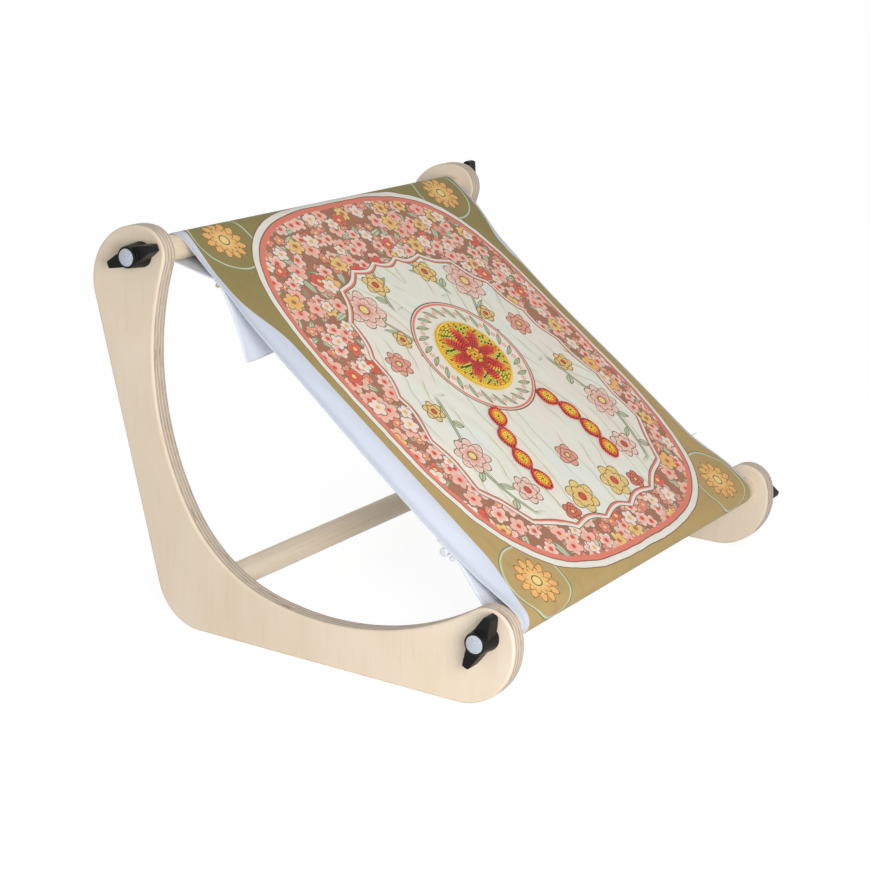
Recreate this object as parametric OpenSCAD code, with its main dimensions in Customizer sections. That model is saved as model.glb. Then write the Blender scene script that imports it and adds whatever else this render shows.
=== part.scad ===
// Embroidery table stand: two plywood cheeks, a glued crossbar, and two rollers that
// wing knobs clamp between the cheeks. The cloth goes round both rollers and is pinned
// back to itself underneath.
// X runs along the rollers, Y to the back, Z up. The origin is on the table, at the
// middle of the stand.

/* [Stand] */
// Width over the outer faces of the two cheeks
stand_w = 370; // [320:1:480]
// Depth of a cheek, front to back
stand_d = 309; // [290:1:335]
// Height of a cheek
stand_h = 250.5; // [235:0.5:270]
// Thickness of the plywood
ply_t = 12; // [10:0.5:18]

/* [Cheek outline] */
// Radius of the big round at the back of the top end
top_lobe_r = 37; // [33:0.5:41]
// Radius of the big round under the front end
front_lobe_r = 38.3; // [35:0.1:42]
// Radius of the small rounds about the roller holes
nose_r = 17; // [15:0.5:20]
// Direction from the top round's centre to the top roller hole, degrees from the back
top_nose_turn = 98; // [90:1:110]
// Direction from the front round's centre to the front roller hole
front_nose_turn = 162; // [150:1:170]
// Radius of the two long inner curves
arm_r = 184; // [175:1:195]
// Radius of the inner bend between them
bend_r = 100; // [80:1:110]
// Direction from the top roller hole to the centre of the upper inner curve
upper_curve_turn = 197.5; // [194:0.5:201]
// Direction from the front roller hole to the centre of the lower inner curve
lower_curve_turn = 56; // [53:0.5:59]
// Radius of the heel, the back corner that stands on the table
heel_r = 34; // [26:1:42]
// Lean of the straight back edge from upright, degrees
back_lean = 15.5; // [13:0.5:18]

/* [Rollers and crossbar] */
// Diameter of the two rollers
roller_d = 16; // [14:0.5:20]
// Diameter of the crossbar
crossbar_d = 16; // [12:0.5:20]
// Crossbar axis, distance behind the middle of the stand
crossbar_y = 65.7; // [58:0.1:72]
// Crossbar axis, height above the table
crossbar_z = 29.4; // [26:0.1:34]
// Depth of the crossbar's blind sockets in the cheeks
socket_depth = 8; // [4:0.5:9]

/* [Studs] */
// Diameter of the studs that carry the rollers
stud_d = 6; // [5:0.5:7]
// Depth of a stud in the end of its roller
stud_bite = 28; // [20:1:40]
// Length of a stud outside the cheek
stud_out = 11; // [9:0.5:12]
// Radial clearance of a stud in the cheek
stud_clear = 0.1; // [0.05:0.01:0.1]

/* [Knobs] */
// Span of a wing knob, tip to tip
knob_span = 39.5; // [34:0.5:46]
// Length of the knob's hub
hub_len = 15; // [14.5:0.5:18]
// Diameter of the hub against the cheek
hub_base_d = 16; // [15:0.5:18]
// Diameter of the hub at its outer end
hub_end_d = 13.5; // [13:0.5:15]
// Height of the wings along the axis
wing_h = 10.5; // [8:0.5:12]
// Gap between the wings and the cheek
wing_lift = 1.6; // [1:0.2:2.4]
// Thickness of a wing at its tip
wing_tip_t = 4.4; // [3.6:0.2:5.2]
// Thickness of a wing at the hub
wing_root_t = 12.6; // [7:0.2:13]
// Rounding of the wings' outer corners
wing_round = 1.5; // [1:0.5:3.5]
// Rise of the wings' cheek side towards the tips
wing_sweep = 2.6; // [1:0.2:3.4]
// Diameter of the pale cap
cap_d = 11; // [9:0.5:11.5]
// Depth of the cap's recess
cap_t = 1.8; // [1.2:0.1:2.2]
// Height of the cap's crown
cap_crown = 0.7; // [0.4:0.1:1.2]
// Diameter of the threaded insert
insert_d = 9; // [8.5:0.5:10]
// Length of the threaded insert
insert_len = 9.5; // [7:0.5:10]
// Running clearance of the insert in the hub and on the stud
run_clear = 0.05; // [0.02:0.01:0.08]
// Angle of the wings of the top left knob, degrees from the back
top_left_turn = 156.8; // [0:0.1:180]
// Angle of the wings of the front left knob
front_left_turn = 112.5; // [0:0.1:180]
// Angle of the wings of the top right knob
top_right_turn = 96; // [0:0.1:180]
// Angle of the wings of the front right knob
front_right_turn = 26; // [0:0.1:180]

/* [Cloth] */
// Width of the cloth along the rollers
cloth_w = 327; // [300:1:336]
// Distance that the cloth sits to the right of the middle
cloth_shift = 2.5; // [0:0.5:4]
// Thickness of the cloth
cloth_t = 0.8; // [0.5:0.1:1]
// Gap between the cloth and the rollers
roller_gap = 0.3; // [0.2:0.05:0.5]
// Gap between the two layers where they are pinned
layer_gap = 0.15; // [0.1:0.05:0.4]
// Distance of the top pins below the top roller's axis, along the cloth
top_pin_back = 39; // [34:1:60]
// Distance of the front pins above the front roller's axis, along the cloth
front_pin_back = 51; // [42:1:70]
// Width of the overlap that the pins hold flat against the cloth
pinned_w = 8; // [6:1:12]
// Length of the loose tail under the top pins
tail_len = 47; // [20:1:60]
// Slope of the tail where it leaves the pins, degrees from the cloth
tail_start = 20; // [10:1:26]
// Slope of the tail at its free edge
tail_end = 34; // [28:1:50]
// Length of cloth past the front pins
front_tail = 14; // [12:1:20]
// Width of the unprinted margin that droops at the left
left_margin = 16; // [10:1:24]
// Width of the margin at the right
right_margin = 7; // [4:1:14]
// Most that the left margin droops
left_droop = 5.4; // [2:0.1:8]
// Most that the right margin droops
right_droop = 2; // [0.5:0.5:4]
// Distance from the front roller up to which the margins droop most
droop_at = 70; // [50:1:90]
// Distance that the left edge is pulled in at the top roller
left_pull = 6.5; // [0:0.5:9]

/* [Pins] */
// Number of pins along each pinned edge
pins = 5; // [3:1:7]
// Length of a pin's shaft
pin_len = 32; // [24:1:38]
// Diameter of a pin's shaft
pin_d = 0.7; // [0.5:0.1:1]
// Diameter of a pin's ball head
head_d = 3.4; // [2.6:0.1:4]
// Diameter of the ribbed head of the extra front pin
ribbed_d = 5.6; // [4.6:0.1:6.4]
// Distance of the first top pin's head from the cloth's left edge
top_inset = 6.5; // [6:0.5:10]
// Distance of the first front pin's head from the cloth's left edge
front_inset = 1; // [0.5:0.5:8]
// Distance of the ribbed pin from the row of front pins, up the cloth
ribbed_gap = 6; // [5:0.5:9]
// Distance of the ribbed head from the first front pin's head, along the rollers
ribbed_shift = 1; // [0:0.5:3]

/* [Hidden] */
$fn = 64;
overrun = 1;             // how far a cutter runs past a face
arc_sag = 0.02;          // most that a chord leaves its arc
ribs = 4;                // rounds along the ribbed pin head
head_clear = 0.1;        // gap between a pin's head and the cloth

// Side view, in [y, z]
function dir(a) = [cos(a), sin(a)];
function turn_of(v) = atan2(v.y, v.x);
top_lobe = [stand_d / 2 - top_lobe_r, stand_h - top_lobe_r];
front_lobe = [front_lobe_r - stand_d / 2, front_lobe_r];
top_axis = top_lobe + (top_lobe_r - nose_r) * dir(top_nose_turn);
front_axis = front_lobe + (front_lobe_r - nose_r) * dir(front_nose_turn);
upper_c = top_axis + (nose_r + arm_r) * dir(upper_curve_turn);
lower_c = front_axis + (nose_r + arm_r) * dir(lower_curve_turn);
half_way = (lower_c - upper_c) / 2;
bend_reach = sqrt(pow(arm_r - bend_r, 2) - half_way * half_way);
bend_c = upper_c + half_way + bend_reach * [half_way.y, -half_way.x] / norm(half_way);
back_n = dir(-back_lean);
heel_c = [top_lobe.x + (top_lobe_r - heel_r - (heel_r - top_lobe.y) * back_n.y) / back_n.x, heel_r];

function arc_steps(r, a0, a1) = ceil(abs(a1 - a0) / (2 * acos(1 - arc_sag / r)));
function arc(c, r, a0, a1, n) = [for (i = [0 : n]) c + r * dir(a0 + (a1 - a0) * i / n)];
function smooth_arc(c, r, a0, a1) = arc(c, r, a0, a1, arc_steps(r, a0, a1));

// Tangent arcs all round the cheek, anticlockwise from the front
cheek_outline = concat(
    smooth_arc(front_lobe, front_lobe_r, front_nose_turn, 270),
    smooth_arc(heel_c, heel_r, -90, -back_lean),
    smooth_arc(top_lobe, top_lobe_r, -back_lean, top_nose_turn),
    smooth_arc(top_axis, nose_r, top_nose_turn, upper_curve_turn),
    smooth_arc(upper_c, arm_r, upper_curve_turn - 180, turn_of(bend_c - upper_c)),
    smooth_arc(bend_c, bend_r, turn_of(bend_c - upper_c), turn_of(bend_c - lower_c)),
    smooth_arc(lower_c, arm_r, turn_of(bend_c - lower_c), lower_curve_turn - 180),
    smooth_arc(front_axis, nose_r, lower_curve_turn, front_nose_turn));

inner_x = stand_w / 2 - ply_t;

// A bar or bore along X at a place in the side view
module along_x(at, x0, x1, d) {
    translate([x0, at.x, at.y]) rotate([0, 90, 0]) cylinder(h = x1 - x0, d = d);
}

// Cheeks and crossbar
module right_cheek() {
    color("#e3d3b4") difference() {
        translate([inner_x, 0, 0]) rotate([90, 0, 90]) linear_extrude(ply_t) polygon(cheek_outline);
        for (axis_at = [top_axis, front_axis])
            along_x(axis_at, inner_x - overrun, stand_w / 2 + overrun, stud_d + 2 * stud_clear);
        along_x([crossbar_y, crossbar_z], inner_x - overrun, inner_x + socket_depth, crossbar_d);
    }
}
module left_cheek() mirror([1, 0, 0]) right_cheek();
module crossbar() {
    reach = inner_x + socket_depth;
    color("#d9c29a") along_x([crossbar_y, crossbar_z], -reach, reach, crossbar_d);
}

// Rollers, with a hole for a stud in each end
module roller(at) {
    color("#d9c29a") difference() {
        along_x(at, -inner_x, inner_x, roller_d);
        along_x(at, -inner_x - overrun, stud_bite - inner_x, stud_d);
        along_x(at, inner_x - stud_bite, inner_x + overrun, stud_d);
    }
}
module top_roller() roller(top_axis);
module front_roller() roller(front_axis);

// What is on a roller's end: local Z leaves the cheek's outer face outwards, and local X
// lies at turn degrees from the back
module at_end(at, side, turn = 0) {
    translate([side * stand_w / 2, at.x, at.y])
        rotate([0, side * 90, 0]) rotate([0, 0, 90 + side * turn]) children();
}

// Stud: straight shank with a pointed wood screw end and a bevelled outer end
module stud() {
    r = stud_d / 2;
    tip = r * 1.2;
    bevel = r * 0.25;
    color("#a8aab0") translate([0, 0, -ply_t - stud_bite]) rotate_extrude()
        polygon([[0, 0], [r, tip], [r, ply_t + stud_bite + stud_out - bevel],
                 [r - bevel, ply_t + stud_bite + stud_out], [0, ply_t + stud_bite + stud_out]]);
}
module top_left_stud() at_end(top_axis, -1) stud();
module top_right_stud() at_end(top_axis, 1) stud();
module front_left_stud() at_end(front_axis, -1) stud();
module front_right_stud() at_end(front_axis, 1) stud();

// Half of the wings' plan: straight flanks from the hub to a round tip
module wing_plan() {
    tip_x = knob_span / 2 - wing_tip_t / 2;
    flank = asin((wing_root_t - wing_tip_t) / 2 / tip_x);
    polygon(concat([[0, -wing_root_t / 2]], arc([tip_x, 0], wing_tip_t / 2, flank - 90, 90 - flank, 16),
                   [[0, wing_root_t / 2]]));
}
// Envelope that rounds the wings' outer corners
module wing_envelope() {
    far = knob_span / 2;
    near = wing_lift;
    top = wing_lift + wing_h;
    rotate_extrude()
        polygon(concat([[0, near], [hub_base_d / 2, near]],
                       arc([far - wing_round, near + wing_sweep + wing_round], wing_round, -90, 0, 8),
                       arc([far - wing_round, top - wing_round], wing_round, 0, 90, 8), [[0, top]]));
}
module hub() {
    edge = 0.6;          // rounding of the hub's outer rim
    base_r = hub_base_d / 2;
    end_r = hub_end_d / 2;
    rotate_extrude()
        polygon([[0, 0], [base_r, 0], [base_r, wing_lift / 2], [end_r, hub_len - edge],
                 [end_r - edge, hub_len], [0, hub_len]]);
}
module knob() {
    hollow = hub_len - cap_t - 0.7;      // the stud's blind hole stops under the cap
    color("#1c1c1e") difference() {
        union() {
            hub();
            intersection() {
                wing_envelope();
                for (half = [0, 180]) rotate([0, 0, half]) linear_extrude(hub_len) wing_plan();
            }
        }
        translate([0, 0, -overrun]) cylinder(h = insert_len + overrun, r = insert_d / 2 + run_clear);
        translate([0, 0, -overrun]) cylinder(h = hollow + overrun, r = stud_d / 2 + 4 * run_clear);
        translate([0, 0, hub_len - cap_t]) cylinder(h = cap_t + overrun, d = cap_d);
    }
}
module top_left_knob() at_end(top_axis, -1, top_left_turn) knob();
module top_right_knob() at_end(top_axis, 1, top_right_turn) knob();
module front_left_knob() at_end(front_axis, -1, front_left_turn) knob();
module front_right_knob() at_end(front_axis, 1, front_right_turn) knob();

// Threaded insert, with the two grooves that key it into the hub
module insert() {
    groove = 0.5;
    r = insert_d / 2;
    color("#b99a4b") difference() {
        cylinder(h = insert_len, r = r);
        translate([0, 0, -overrun]) cylinder(h = insert_len + 2 * overrun, r = stud_d / 2 + run_clear);
        for (share = [0.3, 0.65]) translate([0, 0, share * insert_len]) difference() {
            cylinder(h = 2 * groove, r = r + overrun);
            translate([0, 0, -overrun]) cylinder(h = 2 * groove + 2 * overrun, r = r - groove);
        }
    }
}
module top_left_insert() at_end(top_axis, -1) insert();
module top_right_insert() at_end(top_axis, 1) insert();
module front_left_insert() at_end(front_axis, -1) insert();
module front_right_insert() at_end(front_axis, 1) insert();

// Cap: a disc with a low crown, pressed into the hub's end
module cap() {
    crown_r = (pow(cap_d / 2, 2) + pow(cap_crown, 2)) / (2 * cap_crown);
    crown_half = asin(cap_d / 2 / crown_r);
    color("#c9cfd8") translate([0, 0, hub_len - cap_t]) rotate_extrude()
        polygon(concat([[0, 0], [cap_d / 2, 0]],
                       arc([0, cap_t + cap_crown - crown_r], crown_r, 90 - crown_half, 90, 8)));
}
module top_left_cap() at_end(top_axis, -1) cap();
module top_right_cap() at_end(top_axis, 1) cap();
module front_left_cap() at_end(front_axis, -1) cap();
module front_right_cap() at_end(front_axis, 1) cap();

// The cloth's own plane: s runs up the slope from the front roller's axis to the top
// roller's, and t stands square to it
span = norm(top_axis - front_axis);
slope = turn_of(top_axis - front_axis);
wrap_r = roller_d / 2 + roller_gap + cloth_t / 2;
under_t = wrap_r - cloth_t - layer_gap;
top_pinned = [span - top_pin_back + pinned_w / 2, under_t];
tail_root = [span - top_pin_back - pinned_w / 2, under_t];
front_pinned = [front_pin_back - pinned_w / 2, under_t];
function place(x, s, t) = let (p = front_axis + s * dir(slope) + t * dir(slope + 90)) [x, p.x, p.y];

// Direction of the under layer from the top roller, and from the front roller
top_reach = [span, 0] - top_pinned;
top_return = turn_of(top_reach) - asin(wrap_r / norm(top_reach));
front_return = turn_of(front_pinned) + asin(wrap_r / norm(front_pinned));

// The tail hangs in an even curve
tail_bend_r = tail_len / ((tail_end - tail_start) * PI / 180);
function tail_point(u) = let (a0 = 180 + tail_start, a = a0 + u * (tail_end - tail_start))
    tail_root + tail_bend_r * [sin(a) - sin(a0), cos(a0) - cos(a)];
function line(a, b, n) = [for (i = [0 : n - 1]) a + (b - a) * i / n];
top_off = [span, 0] + wrap_r * dir(top_return - 90);
front_off = wrap_r * dir(front_return - 90);
// Middle line of the cloth, from the tail round both rollers to the front pins
cloth_line = concat(
    [for (i = [0 : 5]) tail_point(1 - i / 6)],
    [tail_root],
    line(top_pinned, top_off, 3),
    arc([span, 0], wrap_r, top_return - 90, 90, 13),
    [for (i = [1 : 12]) [span * (1 - i / 13), wrap_r]],
    arc([0, 0], wrap_r, 90, 270 + front_return, 13),
    [for (i = [1 : 3]) front_off + (front_pinned - front_off) * i / 4],
    [front_pinned, [front_pin_back + front_tail, under_t]]);
last = len(cloth_line) - 1;
function side_of(i) = let (d = cloth_line[min(i + 1, last)] - cloth_line[max(i - 1, 0)])
    [-d.y, d.x] / norm(d);
cloth_ring = concat(
    [for (i = [0 : last]) cloth_line[i] + cloth_t / 2 * side_of(i)],
    [for (i = [last : -1 : 0]) cloth_line[i] - cloth_t / 2 * side_of(i)]);

// The loose margins droop between the rollers, most near the front, and the top pins pull
// the left edge in
top_pin_s = span - top_pin_back;
cloth_x0 = cloth_shift - cloth_w / 2;
cloth_x1 = cloth_shift + cloth_w / 2;
function ease(u) = let (v = min(max(u, 0), 1)) v * v * (3 - 2 * v);
function pull(s) = left_pull * (0.6 * ease((s - top_pin_s) / 45 + 1) + 0.4 * ease((s - top_pin_s) / 40));
function sag_along(s) = s <= 0 || s >= span ? 0 :
    0.74 * (1 - exp(-pow(s / 28, 2))) * exp(-pow(max(s - droop_at, 0) / 100, 2)) + 0.26 * sin(180 * s / span);
function droop(x, s) = sag_along(s)
    * (left_droop * ease((cloth_x0 + left_margin - x) / (left_margin - pull(s)))
       + right_droop * ease((x - cloth_x1 + right_margin) / right_margin));
function pulled(x, s) = x + pull(s) * max(1 - (x - cloth_x0) / left_margin, 0);
cloth_x = concat([for (i = [0 : 4]) cloth_x0 + left_margin * i / 4],
                 [for (i = [1 : 3]) cloth_x0 + left_margin + (cloth_w - left_margin - right_margin) * i / 4],
                 [for (i = [0 : 2]) cloth_x1 - right_margin + right_margin * i / 2]);
module cloth() {
    n = len(cloth_ring);
    m = len(cloth_x);
    points = [for (flat_x = cloth_x, p = cloth_ring) let (x = pulled(flat_x, p.x))
                  place(x, p.x, p.y - droop(x, p.x))];
    sides = [for (j = [0 : m - 2], i = [0 : n - 1]) let (a = j * n + i, b = j * n + (i + 1) % n)
                 [a, b, b + n, a + n]];
    edge_near = [for (i = [0 : last - 1]) [n - 1 - i, n - 2 - i, i + 1, i]];
    edge_far = [for (i = [0 : last - 1]) (m - 1) * n * [1, 1, 1, 1] + [i, i + 1, n - 2 - i, n - 1 - i]];
    color("#d8cfae") polyhedron(points, concat(sides, edge_near, edge_far), convexity = 12);
}

// Pins: the head lies under the cloth and the shaft runs along the rollers, up through the
// under layer and into the upper one
function pin_x(i, inset) = cloth_x0 + inset + i * (cloth_w - 2 * inset - pin_len) / (pins - 1);
function under_face(x, s) = under_t - cloth_t / 2 - droop(x, s);
function face_rise(x, s) = under_face(x + 0.5, s) - under_face(x - 0.5, s);
// Centre [x, t] of a head of radius r that hangs just clear of the under layer
function head_at(x, s, r) = let (m = face_rise(x, s))
    [x, under_face(x, s)] + (r + head_clear) / sqrt(1 + m * m) * [m, -1];
module at_head(x, s, r) {
    c = head_at(x, s, r);
    translate(place(c.x, s, c.y)) rotate([slope, 0, 0]) children();
}
module pin_shaft(x, s, r) {
    c = head_at(x, s, r);
    rise = wrap_r - droop(c.x + pin_len, s) - c.y;
    at_head(x, s, r) rotate([0, 90 - asin(rise / pin_len), 0]) cylinder(h = pin_len, d = pin_d, $fn = 16);
}
module ball_head(x, s) at_head(x, s, head_d / 2) sphere(d = head_d, $fn = 32);
// A fluted barrel that lies along the edge of the cloth
module ribbed_head(x, s) {
    r = ribbed_d / 2;
    rib = ribbed_d / ribs;
    at_head(x, s, r) rotate([0, 90 - atan(face_rise(x, s)), 0]) translate([0, 0, -r])
        rotate_extrude() polygon(concat([[0, 0]],
            [for (i = [0 : ribs - 1], p = [[0.82, 0.08], [1, 0.3], [1, 0.7], [0.82, 0.92]])
                 [r * p.x * (i == 0 ? 0.86 : 1), rib * (i + p.y)]], [[0, ribbed_d]]));
}
top_x = [for (i = [0 : pins - 1]) pin_x(i, top_inset)];
front_x = [for (i = [0 : pins - 1]) pin_x(i, front_inset)];
ribbed_x = front_x[0] + ribbed_shift;
ribbed_s = front_pin_back + ribbed_gap;
module top_pin_shafts() color("#b8bcc4") for (x = top_x) pin_shaft(x, top_pin_s, head_d / 2);
module top_pin_heads() color("#a9b25a") for (x = top_x) ball_head(x, top_pin_s);
module front_pin_shafts() color("#b8bcc4") {
    for (x = front_x) pin_shaft(x, front_pin_back, head_d / 2);
    pin_shaft(ribbed_x, ribbed_s, ribbed_d / 2);
}
module front_pin_heads() color("#dfe3ea") {
    for (x = front_x) ball_head(x, front_pin_back);
    ribbed_head(ribbed_x, ribbed_s);
}

left_cheek();
right_cheek();
crossbar();
top_roller();
front_roller();
top_left_stud();
top_right_stud();
front_left_stud();
front_right_stud();
top_left_knob();
top_right_knob();
front_left_knob();
front_right_knob();
top_left_insert();
top_right_insert();
front_left_insert();
front_right_insert();
top_left_cap();
top_right_cap();
front_left_cap();
front_right_cap();
cloth();
top_pin_shafts();
top_pin_heads();
front_pin_shafts();
front_pin_heads();
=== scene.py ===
import math

import bmesh
import bpy
import numpy as np
from mathutils import Matrix, Vector


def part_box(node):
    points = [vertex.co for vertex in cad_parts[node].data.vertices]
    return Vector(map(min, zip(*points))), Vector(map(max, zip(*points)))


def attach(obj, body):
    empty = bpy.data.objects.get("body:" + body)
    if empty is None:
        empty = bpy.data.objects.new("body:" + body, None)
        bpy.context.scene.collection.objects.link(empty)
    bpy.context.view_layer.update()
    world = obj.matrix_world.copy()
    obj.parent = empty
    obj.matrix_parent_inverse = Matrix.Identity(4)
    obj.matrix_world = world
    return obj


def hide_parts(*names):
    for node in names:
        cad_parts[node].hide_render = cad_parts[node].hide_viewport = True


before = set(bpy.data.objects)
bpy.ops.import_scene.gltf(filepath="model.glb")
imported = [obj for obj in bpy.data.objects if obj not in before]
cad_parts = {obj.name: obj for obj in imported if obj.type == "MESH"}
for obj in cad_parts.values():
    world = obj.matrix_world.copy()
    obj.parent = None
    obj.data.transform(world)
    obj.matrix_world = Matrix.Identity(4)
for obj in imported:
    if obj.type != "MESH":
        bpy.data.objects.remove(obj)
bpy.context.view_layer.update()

mm = 0.001


def tone(red, green, blue):
    # a colour as a screen shows it, 0 to 255, to Blender's linear colour
    shares = [value / 255 for value in (red, green, blue)]
    return tuple(c / 12.92 if c <= 0.04045 else ((c + 0.055) / 1.055) ** 2.4 for c in shares) + (1,)


class Wire:
    # one output of a node, so that shader maths reads as maths
    def __init__(self, nodes, socket):
        self.nodes = nodes
        self.socket = socket

    def __add__(self, other):
        return self.nodes.maths("ADD", self, other)

    def __sub__(self, other):
        return self.nodes.maths("SUBTRACT", self, other)

    def __mul__(self, other):
        return self.nodes.maths("MULTIPLY", self, other)

    def __truediv__(self, other):
        return self.nodes.maths("DIVIDE", self, other)

    def __rsub__(self, other):
        return self.nodes.maths("SUBTRACT", other, self)

    def __pow__(self, other):
        return self.nodes.maths("POWER", self, other)

    def __abs__(self):
        return self.nodes.maths("ABSOLUTE", self)

    __radd__ = __add__
    __rmul__ = __mul__


class Nodes:
    # a node tree that is filled one node at a time
    def __init__(self, tree):
        self.tree = tree

    def add(self, kind, settings=None, inputs=None, out=0):
        node = self.tree.nodes.new(kind)
        for name, value in (settings or {}).items():
            if name == "stops":
                while len(node.color_ramp.elements) < len(value):
                    node.color_ramp.elements.new(1)
                for element, (place, colour) in zip(node.color_ramp.elements, value):
                    element.position = place
                    element.color = colour
            else:
                setattr(node, name, value)
        for name, value in (inputs or {}).items():
            if isinstance(value, Wire):
                self.tree.links.new(value.socket, node.inputs[name])
            else:
                node.inputs[name].default_value = value
        if isinstance(out, (list, tuple)):
            return [Wire(self, node.outputs[one]) for one in out]
        return Wire(self, node.outputs[out]) if len(node.outputs) else None

    def maths(self, operation, *values):
        return self.add("ShaderNodeMath", {"operation": operation}, dict(enumerate(values)))

    def vector(self, operation, *values, out=0):
        return self.add("ShaderNodeVectorMath", {"operation": operation}, dict(enumerate(values)), out)

    def join(self, x, y, z=0.0):
        return self.add("ShaderNodeCombineXYZ", None, {0: x, 1: y, 2: z})

    def split(self, vector):
        return self.add("ShaderNodeSeparateXYZ", None, {0: vector}, (0, 1, 2))

    def rise(self, value, low, high):
        # 0 below low, 1 above high, smooth between
        return self.add("ShaderNodeMapRange", {"interpolation_type": "SMOOTHSTEP"},
                        {"Value": value, "From Min": low, "From Max": high})

    def fall(self, value, low, high):
        return 1 - self.rise(value, low, high)

    def mix(self, share, first, second, way="MIX"):
        return self.add("ShaderNodeMix", {"data_type": "RGBA", "blend_type": way},
                        {0: share, 6: first, 7: second}, 2)

    def noise(self, vector, scale, detail, roughness, warp=0.0):
        return self.add("ShaderNodeTexNoise", None,
                        {"Vector": vector, "Scale": scale, "Detail": detail, "Roughness": roughness,
                         "Distortion": warp}, "Fac")

    def ramp(self, value, *stops):
        return self.add("ShaderNodeValToRGB", {"stops": stops}, {"Fac": value})

    def bump(self, height, strength, distance):
        return self.add("ShaderNodeBump", None,
                        {"Strength": strength, "Distance": distance, "Height": height})

    def surface(self, inputs):
        shader = self.add("ShaderNodeBsdfPrincipled", None, inputs)
        self.add("ShaderNodeOutputMaterial", None, {"Surface": shader})


def newMaterial(name):
    material = bpy.data.materials.new(name)
    material.use_nodes = True
    material.node_tree.nodes.clear()
    return material, Nodes(material.node_tree)


def objectPlace(nodes):
    return nodes.add("ShaderNodeTexCoord", None, None, "Object")


def directRays(nodes):
    # 1 where the camera looks at a surface, also in a reflection or through glass, else 0
    seen, glossy, through = nodes.add("ShaderNodeLightPath", None, None,
                                      ("Is Camera Ray", "Is Glossy Ray", "Is Transmission Ray"))
    return nodes.maths("MINIMUM", seen + glossy + through, 1.0)


def addObject(name, data):
    thing = bpy.data.objects.new(name, data)
    bpy.context.scene.collection.objects.link(thing)
    return thing


def paint(mesh, *materials):
    mesh.materials.clear()
    for material in materials:
        mesh.materials.append(material)


# Camera
view = {"place": (-1.11422, -0.67097, 0.46438), "azimuth": -58.313, "elevation": 15.721,
        "roll": 1.801, "focalPixels": 2021.199, "framePixels": 870, "sensor": 36.0}


def makeCamera():
    azimuth, elevation, roll = (math.radians(view[key]) for key in ("azimuth", "elevation", "roll"))
    back = Vector((math.sin(azimuth) * math.cos(elevation), -math.cos(azimuth) * math.cos(elevation),
                   math.sin(elevation)))
    levelRight = Vector((math.cos(azimuth), math.sin(azimuth), 0))
    levelUp = back.cross(levelRight)
    right = math.cos(roll) * levelRight + math.sin(roll) * levelUp
    up = -math.sin(roll) * levelRight + math.cos(roll) * levelUp
    turn = Matrix((right, up, back)).transposed().to_4x4()
    data = bpy.data.cameras.new("camera")
    data.sensor_width = view["sensor"]
    data.lens = view["focalPixels"] * view["sensor"] / view["framePixels"]
    data.clip_end = 60
    camera = addObject("camera", data)
    camera.matrix_world = Matrix.Translation(view["place"]) @ turn
    bpy.context.scene.camera = camera


# Studio
studio = {"floorHalf": 30.0, "floorSeen": 0.3, "floorTone": 0.88, "floorGlow": 0.84,
          "sky": 0.42, "wallWay": (0.86, 0.49, 0.15), "wallGlow": 0.5, "aim": 0.12,
          "lamps": {"key": ((-0.77, -0.72, 0.36), 0.4, 6.6)}}


def makeStudio():
    scene = bpy.context.scene
    scene.view_settings.view_transform = "Standard"
    half = studio["floorHalf"]
    mesh = bpy.data.meshes.new("floor")
    mesh.from_pydata([(-half, -half, 0), (half, -half, 0), (half, half, 0), (-half, half, 0)], [],
                     [(0, 1, 2, 3)])
    floor = addObject("floor", mesh)
    material, nodes = newMaterial("floorPaper")
    direct = directRays(nodes)
    glow = nodes.add("ShaderNodeEmission", None, {"Strength": direct * studio["floorGlow"]})
    shade = studio["floorTone"] - direct * (studio["floorTone"] - studio["floorSeen"])
    paper = nodes.add("ShaderNodeBsdfDiffuse", None, {"Color": nodes.join(shade, shade, shade)})
    both = nodes.add("ShaderNodeAddShader", None, {0: paper, 1: glow})
    nodes.add("ShaderNodeOutputMaterial", None, {"Surface": both})
    mesh.materials.append(material)

    world = bpy.data.worlds.new("studio")
    world.use_nodes = True
    world.node_tree.nodes.clear()
    scene.world = world
    nodes = Nodes(world.node_tree)
    direct = directRays(nodes)
    # an even sky, and a paler wall behind the stand that lights its far side
    heading = nodes.add("ShaderNodeTexCoord", None, None, "Generated")
    facing = nodes.vector("DOT_PRODUCT", heading, studio["wallWay"], out="Value")
    level = nodes.maths("MAXIMUM", facing, 0.0) ** 2 * studio["wallGlow"] + studio["sky"]
    strength = level + direct * (1 - level)
    sky = nodes.add("ShaderNodeBackground", None, {"Color": (1, 1, 1, 1), "Strength": strength})
    nodes.add("ShaderNodeOutputWorld", None, {"Surface": sky})

    for name, (place, size, power) in studio["lamps"].items():
        data = bpy.data.lights.new(name, "AREA")
        data.size = size
        data.energy = power
        lamp = addObject(name, data)
        lamp.location = place
        way = Vector((0, 0, studio["aim"])) - Vector(place)
        lamp.rotation_euler = way.to_track_quat("-Z", "Y").to_euler()


# Shapes that several pieces share
def newObject(name, mesh, materials, body, nodeNames):
    piece = addObject(name, mesh)
    paint(mesh, *materials)
    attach(piece, body)
    if nodeNames:
        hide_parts(*nodeNames)
    return piece


def camel(nodeName):
    first, *others = nodeName.split("_")
    return first + "".join(word.capitalize() for word in others)


def cadShape(nodeName):
    # the CAD node's own shape, with its loose triangles joined
    shape = bmesh.new()
    shape.from_mesh(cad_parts[nodeName].data)
    bmesh.ops.remove_doubles(shape, verts=shape.verts, dist=0.001 * mm)
    return shape


def toMesh(shape, name, smooth=True):
    mesh = bpy.data.meshes.new(name)
    for face in shape.faces:
        face.smooth = smooth
    shape.to_mesh(mesh)
    shape.free()
    return mesh


def bakedMesh(rough):
    # an object's mesh with its modifiers applied; the object itself goes
    graph = bpy.context.evaluated_depsgraph_get()
    mesh = bpy.data.meshes.new_from_object(rough.evaluated_get(graph), depsgraph=graph)
    bpy.data.objects.remove(rough)
    return mesh


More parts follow.
